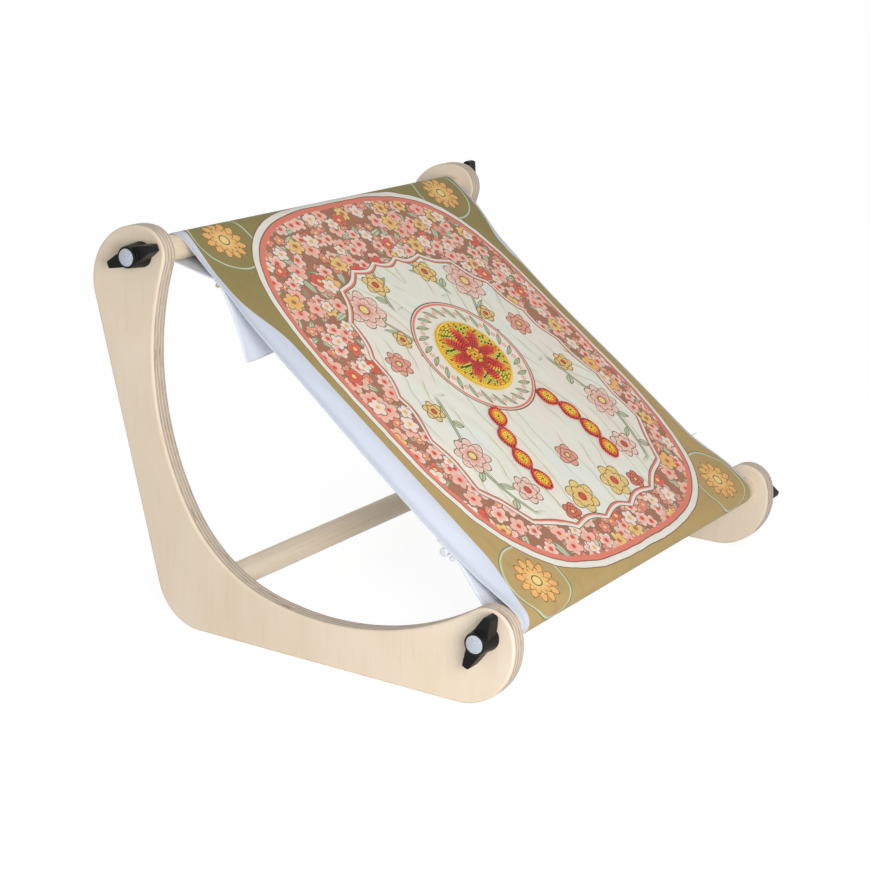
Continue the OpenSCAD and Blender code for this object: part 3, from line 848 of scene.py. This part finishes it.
    # sprays in the field, on curving stems
    for way, stem, lean, low, high in ((1, 54.0, 15.0, 12, 118), (1, 24.0, 11.0, 58, 132),
                                       (-1, 80.0, 9.0, 6, 104)):
        line = side - stem - nodes.maths("SINE", height / 21 + stem) * lean
        reach = nodes.rise(q * way, low, low + 8) * nodes.fall(height, high, high + 8)
        nodes.lay(reach * nodes.outline(line, 1.5), mint)
        nodes.lay(reach * nodes.outline(abs(line) - 0.9, 0.35), leafLine)
        step = nodes.maths("FRACT", height / 13) - 0.5
        flip = nodes.maths("SIGN", nodes.maths("FRACT", height / 26) - 0.5)
        offX, offY = line * flip - 5.2, step * 13
        nodes.leaf(offX * 0.8 + offY * 0.6, offY * 0.8 - offX * 0.6, 6.2, 2.5, reach,
                   mint, leafLine, 0.4, 0.25)
    for placeX, placeY, radius, count, inside, outer, heart in (
            (62, 68, 18, 8, coral, palePink, yellow), (30, 84, 11, 6, orange, yellow, red),
            (76, 22, 11, 7, coral, pink, yellow), (52, 38, 8, 5, orange, yellow, red),
            (84, -18, 9, 6, orange, yellow, red), (86, -56, 15, 8, coral, palePink, yellow),
            (66, -92, 12, 7, pink, palePink, red), (22, -112, 14, 6, orange, yellow, red),
            (0, -82, 10, 5, coral, pink, yellow), (44, -118, 8, 5, red, coral, yellow)):
        nodes.bloom(side - placeX, q - placeY, radius, count, inside, outer, dark, heart, 0.26, 0.3)
    nodes.close(nodes.inside(inner - 1.9))

    # wreath round the beaded rosette, and the ground that the beads are sewn on
    fromX, fromY = p - rosette["p"], q - rosette["q"]
    r, turn = nodes.length(fromX, fromY), nodes.angle(fromX, fromY)
    plain = nodes.inside(rosette["radius"] + 19 - r)
    nodes.lay(plain, tone(244, 239, 224))
    nodes.lay(nodes.outline(r - rosette["radius"] - 19, 0.5), dark)
    nodes.lay(nodes.outline(r - rosette["radius"] - 17, 1.2), coral)
    nodes.wreath(r, turn, rosette["radius"] + 10, 24, 6.4, 1.9, 0.9, mint, leafLine)
    nodes.wreath(r, turn + 0.13, rosette["radius"] + 10, 24, 2.0, 2.0, 0, palePink, coral)
    nodes.lay(nodes.inside(rosette["radius"] + 1.4 - r), yellow)
    nodes.lay(nodes.inside(rosette["radius"] - 1 - r), coral)

    # unprinted margins: the left one is narrow beside the top pins and at the front roller, and the
    # right one shows only in two short stretches, near the rollers
    bow = nodes.rise(s, 215, 268) * nodes.fall(s, 274, 345) * 13 + nodes.fall(s, -15, 45) * 10
    shown = nodes.rise(s, 222, 242) * nodes.fall(s, 250, 274) * 5
    shown = shown + nodes.rise(s, 28, 48) * nodes.fall(s, 60, 90) * 4
    across = nodes.maths("MINIMUM", x - printed["left"] + bow, printed["right"] - x - shown)
    along = nodes.maths("MINIMUM", s - printed["front"], printed["back"] - s)
    edge = nodes.maths("MINIMUM", across, along)
    white = nodes.mix(stain, tone(211, 217, 232), tone(222, 227, 239))
    nodes.lay(nodes.inside(edge * -1), white)
    # painted shade: the outer few millimetres of the left margin are greyed, where the loose edge
    # droops away from the light
    nodes.lay(nodes.fall(x - clothLeft, 1.5, 6.5) * 0.5, tone(184, 191, 204))

    # the weave: fine threads both ways, and the ink a little thin on their tops
    threads = nodes.maths("SINE", p * 8) * nodes.maths("SINE", q * 8)
    ripples = nodes.noise(nodes.join((p + q * 0.35) / 16, (q - p * 0.35) / 130), 1.0, 1, 0.5)
    slubs = nodes.noise(nodes.join(p * 0.5, q * 6), 1.0, 2, 0.5)
    nodes.lay(nodes.rise(slubs, 0.55, 0.8) * 0.10, tone(240, 238, 232))
    nodes.surface({"Base Color": nodes.colour, "Roughness": 0.78 + wobble * 0.1,
                   "Specular IOR Level": 0.2, "Sheen Weight": 0.08,
                   "Normal": nodes.bump(threads * 0.5 + slubs + ripples * 90, 0.25, 0.06 * mm)})
    return material


# Beads: sewn on in rows, a rosette and two strings of drops
beads = {"ring": 0.66, "wall": 0.34, "halfLength": 0.68, "sunk": 0.05,
         "row": 1.95, "pitch": 1.5, "seed": 7, "dropLong": 8.4, "dropWide": 6.4,
         "dropPinch": 0.35, "dropSteps": 240, "dropPitch": 18.4, "stringStart": (27.0, -41.0),
         "stringLeans": (-52, -68, -84, -98), "dropTones": ("yellow", "yellow", "orange", "red"),
         "loose": 0.16, "smallest": 0.93, "largest": 1.05}
beadTones = {"red": tone(196, 20, 14), "scarlet": tone(224, 58, 24), "orange": tone(242, 130, 22),
             "yellow": tone(242, 204, 34), "lime": tone(212, 210, 62), "black": tone(18, 15, 16)}


def rosetteRows():
    # each bead's place on the print, the way that its row runs, and its colour
    petals, radius = rosette["petals"], rosette["radius"]
    last = int(radius / beads["row"])
    found = [(0.0, 0.0, 0.0, "black")]
    for ring in range(1, last + 1):
        r = ring * beads["row"]
        count = int(2 * math.pi * r / beads["pitch"])
        for i in range(count):
            a = 2 * math.pi * i / count
            wave = rosette["petalDepth"] * abs(math.cos(a * petals / 2))
            if ring == last:
                colour = "yellow"
            elif ring == last - 1:
                colour = "yellow" if i % 4 else "red"
            elif ring <= 2:
                colour = "yellow" if ring == 1 else "orange"
            elif ring == 3:
                colour = "black" if i % 4 == 0 else "yellow"
            elif r < radius * (rosette["scarletTo"] + wave):
                colour = "red" if r < radius * (rosette["redTo"] + wave) else "scarlet"
            elif r < radius * (rosette["orangeTo"] + wave):
                colour = "orange"
            else:
                colour = "lime" if (i + ring) % 5 else "black"
            found.append((r * math.cos(a), r * math.sin(a), a + math.pi / 2, colour))
    return found


def dropRows(middleX, middleY, lean):
    found = [(middleX, middleY, lean, "black")]
    rows = int(beads["dropWide"] / beads["row"]) + 1
    for row in range(1, rows + 1):
        share = row / rows
        long, wide = beads["dropLong"] * share, beads["dropWide"] * share
        outline = []
        for i in range(beads["dropSteps"]):
            a = 2 * math.pi * i / beads["dropSteps"]
            pinch = 1 - beads["dropPinch"] * math.cos(a) ** 2
            outline.append((long * math.cos(a), wide * math.sin(a) * pinch))
        run = 0.0
        for (x0, y0), (x1, y1) in zip(outline, outline[1:] + outline[:1]):
            run += math.hypot(x1 - x0, y1 - y0)
            if run >= beads["pitch"]:
                run = 0.0
                way = math.atan2(y1 - y0, x1 - x0) + lean
                x = middleX + x1 * math.cos(lean) - y1 * math.sin(lean)
                y = middleY + x1 * math.sin(lean) + y1 * math.cos(lean)
                found.append((x, y, way, beads["dropTones"][row - 1 - rows]))
    return found


def drops():
    # middles and leans of the drops: two strings that hang from the rosette and curve outwards
    found, x, y = [], *beads["stringStart"]
    for lean in map(math.radians, beads["stringLeans"]):
        x += beads["dropPitch"] / 2 * math.cos(lean)
        y += beads["dropPitch"] / 2 * math.sin(lean)
        found += [(x, y, lean), (-x, y, math.pi - lean)]
        x += beads["dropPitch"] / 2 * math.cos(lean)
        y += beads["dropPitch"] / 2 * math.sin(lean)
    return found


def beadMaterial():
    material, nodes = newMaterial("glassBeads")
    tint = nodes.add("ShaderNodeAttribute", {"attribute_name": "tint"}, None, "Color")
    place = objectPlace(nodes)
    cloudy = nodes.noise(place, 1400.0, 2, 0.5)
    colour = nodes.mix(nodes.rise(cloudy, 0.3, 0.8) * 0.1, tint, tone(255, 224, 190), "SCREEN")
    nodes.surface({"Base Color": colour, "Roughness": 0.2 + cloudy * 0.12, "Coat Weight": 0.3,
                   "Coat Roughness": 0.08, "Specular IOR Level": 0.4,
                   "Normal": nodes.bump(cloudy, 0.08, 0.05 * mm)})
    return material


def pointTree(name, **sockets):
    # a geometry tree that takes a mesh of points, and a wire for each of its inputs
    tree = bpy.data.node_groups.new(name, "GeometryNodeTree")
    face = tree.interface
    face.new_socket("Geometry", in_out="INPUT", socket_type="NodeSocketGeometry")
    for socket, kind in sockets.items():
        face.new_socket(socket, in_out="INPUT", socket_type="NodeSocket" + kind)
    face.new_socket("Geometry", in_out="OUTPUT", socket_type="NodeSocketGeometry")
    nodes = Nodes(tree)
    return nodes, *nodes.add("NodeGroupInput", out=tuple(range(len(sockets) + 1)))


def onPoints(nodes, material, inputs):
    # the end of such a tree: a copy on each point, all as one mesh
    solid = nodes.add("GeometryNodeInstanceOnPoints", None, inputs)
    solid = nodes.add("GeometryNodeRealizeInstances", None, {"Geometry": solid})
    solid = nodes.add("GeometryNodeSetMaterial", None, {"Geometry": solid, "Material": material})
    nodes.add("NodeGroupOutput", None, {"Geometry": solid})
    return nodes.tree


def grown(tree, mesh, **values):
    # the mesh that a geometry tree makes from a mesh of points
    rough = addObject("rough", mesh)
    modifier = rough.modifiers.new("grow", "NODES")
    modifier.node_group = tree
    for socket in tree.interface.items_tree:
        if socket.in_out == "INPUT" and socket.name in values:
            modifier[socket.identifier] = values[socket.name]
    return bakedMesh(rough)


def beadTree(material):
    # a bead on each point: its hole lies along the row and its side on the cloth
    nodes, points, ring, wall, half, seed = pointTree("sewBeads", ring="Float", wall="Float",
                                                      half="Float", seed="Int")
    circle = nodes.add("GeometryNodeCurvePrimitiveCircle", None, {"Resolution": 8, "Radius": ring})
    section = nodes.add("GeometryNodeCurvePrimitiveCircle", None, {"Resolution": 5, "Radius": 1.0})
    section = nodes.add("GeometryNodeTransform", None,
                        {"Geometry": section, "Scale": nodes.join(wall, half, 1.0)})
    bead = nodes.add("GeometryNodeCurveToMesh", None, {"Curve": circle, "Profile Curve": section})
    bead = nodes.add("GeometryNodeSetShadeSmooth", None, {"Geometry": bead, "Shade Smooth": True})
    way = nodes.add("GeometryNodeInputNamedAttribute", {"data_type": "FLOAT_VECTOR"}, {"Name": "way"})
    up = nodes.add("GeometryNodeInputNamedAttribute", {"data_type": "FLOAT_VECTOR"}, {"Name": "up"})
    turn = nodes.add("FunctionNodeAxesToRotation", {"primary_axis": "Z", "secondary_axis": "X"},
                     {"Primary Axis": way, "Secondary Axis": up})
    loose = nodes.add("FunctionNodeRandomValue", {"data_type": "FLOAT_VECTOR"},
                      {"Min": (-beads["loose"],) * 3, "Max": (beads["loose"],) * 3, "Seed": seed})
    tilt = nodes.add("FunctionNodeEulerToRotation", None, {0: loose})
    turn = nodes.add("FunctionNodeRotateRotation", {"rotation_space": "LOCAL"},
                     {"Rotation": turn, "Rotate By": tilt})
    size = nodes.add("FunctionNodeRandomValue", {"data_type": "FLOAT"},
                     {2: beads["smallest"], 3: beads["largest"], "Seed": seed}, 1)
    return onPoints(nodes, material,
                    {"Points": points, "Instance": bead, "Rotation": turn, "Scale": size})


def makeBeads():
    middleX, middleS = printed["middleX"] + rosette["p"], printed["middleS"] + rosette["q"]
    rows = rosetteRows()
    for x, y, lean in drops():
        rows += dropRows(x, y, lean)
    height = wrapRadius + cloth["thickness"] / 2 + beads["ring"] + beads["wall"] - beads["sunk"]
    xs, ys, turns, colours = zip(*rows)
    mesh = bpy.data.meshes.new("beadPlaces")
    mesh.from_pydata([fromSlope(middleX + x, middleS + y, height) for x, y in zip(xs, ys)], [], [])

    def heading(x, s, t):
        return (Vector(fromSlope(x, s, t)) - Vector(fromSlope(0, 0, 0))).normalized()
    ways = [heading(math.cos(turn), math.sin(turn), 0) for turn in turns]
    tints = [beadTones[colour] for colour in colours]
    for key, kind, member, values in (("way", "FLOAT_VECTOR", "vector", ways),
                                      ("up", "FLOAT_VECTOR", "vector", [heading(0, 0, 1)] * len(rows)),
                                      ("tint", "FLOAT_COLOR", "color", tints)):
        attribute = mesh.attributes.new(key, kind, "POINT")
        attribute.data.foreach_set(member, np.array([tuple(value) for value in values], float).ravel())
    material = beadMaterial()
    sewn = grown(beadTree(material), mesh, ring=beads["ring"] * mm, wall=beads["wall"] * mm,
                 half=beads["halfLength"] * mm, seed=beads["seed"])
    piece = newObject("beadwork", sewn, [material], "stand", [])
    print("beads", len(rows), "beads,", len(sewn.polygons), "faces")
    return piece


# Pins: glass heads under the cloth, and steel shafts that lie along the rollers
pin = {"headSides": 24, "headRings": 16, "flat": 0.94, "flutedFrom": 1.2, "barrelRadius": 0.98,
       "barrelLength": 0.96, "ribs": 4, "stepsPerRib": 8, "taper": 0.16, "groove": 0.16}


def looseParts(nodeName):
    # the corners of each separate solid of a CAD node, in metres
    shape = cadShape(nodeName)
    shape.verts.ensure_lookup_table()
    unseen, parts = set(range(len(shape.verts))), []
    while unseen:
        start = unseen.pop()
        group, queue = [start], [start]
        while queue:
            for edge in shape.verts[queue.pop()].link_edges:
                for vert in edge.verts:
                    if vert.index in unseen:
                        unseen.remove(vert.index)
                        group.append(vert.index)
                        queue.append(vert.index)
        parts.append(np.array([shape.verts[i].co for i in group]))
    shape.free()
    return sorted(parts, key=lambda part: part[:, 0].min())


def glassMaterial(name, colour, deep):
    material, nodes = newMaterial(name)
    place = objectPlace(nodes)
    cloudy = nodes.noise(place, 700.0, 2, 0.5)
    nodes.surface({"Base Color": nodes.mix(cloudy, colour, deep), "Roughness": 0.18 + cloudy * 0.1,
                   "Coat Weight": 0.5, "Coat Roughness": 0.06,
                   "Normal": nodes.bump(cloudy, 0.05, 0.1 * mm)})
    return material


def headTree(material):
    # a ball on each point, a little flattened where its shaft enters
    nodes, points, radius, sides = pointTree("pinHeads", radius="Float", sides="Int")
    ball = nodes.add("GeometryNodeMeshUVSphere", None,
                     {"Segments": sides, "Rings": pin["headRings"], "Radius": radius})
    ball = nodes.add("GeometryNodeTransform", None,
                     {"Geometry": ball, "Rotation": (0, math.pi / 2, 0), "Scale": (pin["flat"], 1, 1)})
    ball = nodes.add("GeometryNodeSetShadeSmooth", None, {"Geometry": ball, "Shade Smooth": True})
    return onPoints(nodes, material, {"Points": points, "Instance": ball})


def makePins():
    green = glassMaterial("greenGlass", tone(196, 208, 104), tone(160, 176, 70))
    white = glassMaterial("pearlGlass", tone(232, 235, 238), tone(206, 210, 216))
    steel = metalMaterial("pinSteel", tone(200, 202, 206), 0.25, 3.0, 0.01)
    found = []
    for row, material, slot in (("top", green, "green_head"), ("front", white, "white_head")):
        parts = looseParts(row + "_pin_heads")
        widths = [np.ptp(part[:, 0]) for part in parts]
        fluted = min(widths) * pin["flutedFrom"]
        balls = [part for part, width in zip(parts, widths) if width < fluted]
        barrels = [part for part, width in zip(parts, widths) if width >= fluted]
        points = bpy.data.meshes.new("headPlaces")
        points.from_pydata([tuple((part.min(0) + part.max(0)) / 2) for part in balls], [], [])
        radius = float(np.ptp(balls[0][:, 0])) / 2
        heads = grown(headTree(material), points, radius=radius, sides=pin["headSides"])
        found.append(newObject(row + "PinHeads", heads, [material], "stand", [row + "_pin_heads"]))
        for part in barrels:
            found.append(makeBarrel(row + "PinBarrel", part, white))
        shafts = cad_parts[row + "_pin_shafts"]
        paint(shafts.data, steel)
        found.append(shafts)
        print("pins", row, len(balls), "balls,", len(barrels), "fluted")
    return found


def makeBarrel(name, part, material):
    # the fluted head: soft rounds side by side along its axis
    middle = (part.min(0) + part.max(0)) / 2
    radius = float(np.ptp(part[:, 1])) / 2 / mm * pin["barrelRadius"]
    half = float(np.ptp(part[:, 0])) / 2 / mm * pin["barrelLength"]
    profile, steps = [(0, -half)], pin["ribs"] * pin["stepsPerRib"]
    for step in range(steps + 1):
        share = step / steps
        soft = math.sqrt(max(0, math.sin(math.pi * (share * pin["ribs"] % 1 if share < 1 else 1))))
        bulge = 1 - pin["taper"] * (2 * share - 1) ** 4
        profile.append((radius * bulge * (1 - pin["groove"] * (1 - soft)), half * (2 * share - 1)))
    profile.append((0, half))
    matrix = Matrix.Translation(middle) @ Matrix.Rotation(math.pi / 2, 4, "Y")
    return newObject(name, turned(name, profile, matrix, 40, 80), [material], "stand", [])


def reverseMaterial():
    material, nodes = newMaterial("clothReverse")
    place = objectPlace(nodes)
    cloudy = nodes.noise(place, 30.0, 3, 0.5)
    colour = nodes.mix(cloudy, tone(226, 231, 243), tone(234, 237, 246))
    nodes.surface({"Base Color": colour, "Roughness": 0.85})
    return material


makeCamera()
makeStudio()
makeCheeks()
makeDowels()
makeKnobs()
clothPiece, clothLength = makeCloth()
beadPiece = makeBeads()
pinPieces = makePins()
round(clothLength * mm, 3)
